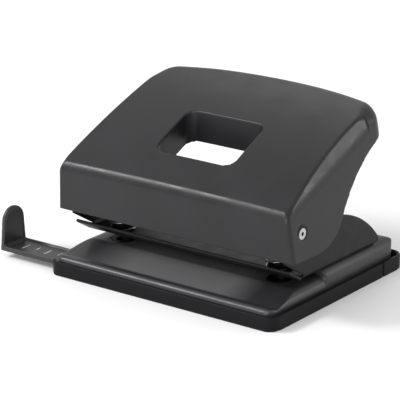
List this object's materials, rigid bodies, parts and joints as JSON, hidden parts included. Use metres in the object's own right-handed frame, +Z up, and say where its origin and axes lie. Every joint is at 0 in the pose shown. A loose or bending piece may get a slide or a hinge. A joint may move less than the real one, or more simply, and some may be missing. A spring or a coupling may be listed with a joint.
{
  "type": "hole punch",
  "caption": "Two-hole desk punch: a moulded lever with a finger window on a sheet-steel frame, sliding paper guide and swing-down chip tray.",
  "frame": {"origin": "centre of the chip tray's underside, on the table", "axes": "+X along the row of holes, -Y the front where the paper goes in, +Z up"},
  "size_m": [0.1465, 0.0974, 0.0754],
  "materials": {
    "base_enamel": "glossy black enamel",
    "frame_enamel": "satin dark enamel",
    "lever_plastic": "satin dark grey, fine grain",
    "tray_plastic": "soft matt black",
    "guide_plastic": "satin dark grey",
    "zinc_steel": "zinc plated",
    "hard_steel": "ground and polished",
    "bright_steel": "nickel plated",
    "spring_steel": "drawn wire",
    "dark_steel": "hardened and blackened"
  },
  "bodies": {
    "base": {"base_plate": "base_enamel", "tray_hinge_strip": "tray_plastic", "punch_frame": "frame_enamel", "frame_rivets": "zinc_steel", "die_left": "dark_steel", "die_right": "dark_steel", "bush_left": "dark_steel", "bush_right": "dark_steel", "axle": "bright_steel", "axle_washers": "zinc_steel", "guide_rail": "zinc_steel", "rail_studs": "zinc_steel", "guide_detent": "spring_steel", "spring_left": "spring_steel", "spring_right": "spring_steel"},
    "lever": {"lever_shell": "lever_plastic", "press_pin_left": "bright_steel", "press_pin_right": "bright_steel", "press_pin_clips": "spring_steel"},
    "left_punch": {"punch_left": "hard_steel", "punch_clip_left": "spring_steel", "spring_cup_left": "zinc_steel"},
    "right_punch": {"punch_right": "hard_steel", "punch_clip_right": "spring_steel", "spring_cup_right": "zinc_steel"},
    "tray": {"chip_tray": "tray_plastic"},
    "guide": {"paper_guide": "guide_plastic"}
  },
  "joints": [
    {"name": "lever_hinge", "type": "hinge", "parent": "base", "child": "lever", "pos_m": [0, -0.031, 0.0365], "axis": [-1, 0, 0], "range_deg": [0, 30], "stiffness_Nm_per_rad": 0.15, "springref_deg": -57.3},
    {"name": "left_punch_slide", "type": "slide", "parent": "base", "child": "left_punch", "axis": [0, 0, -1], "range_m": [0, 0.00591], "deforming": ["spring_left"]},
    {"name": "right_punch_slide", "type": "slide", "parent": "base", "child": "right_punch", "axis": [0, 0, -1], "range_m": [0, 0.00591], "deforming": ["spring_right"]},
    {"name": "tray_hinge", "type": "hinge", "parent": "base", "child": "tray", "pos_m": [0, 0.03105, 0], "axis": [1, 0, 0], "range_deg": [0, 65]},
    {"name": "guide_slide", "type": "slide", "parent": "base", "child": "guide", "axis": [1, 0, 0], "range_m": [-0.04, 0.028]}
  ],
  "couplings": [
    {"joint": "left_punch_slide", "follows": "lever_hinge", "m_per_rad": 0.01127},
    {"joint": "right_punch_slide", "follows": "lever_hinge", "m_per_rad": 0.01127}
  ]
}
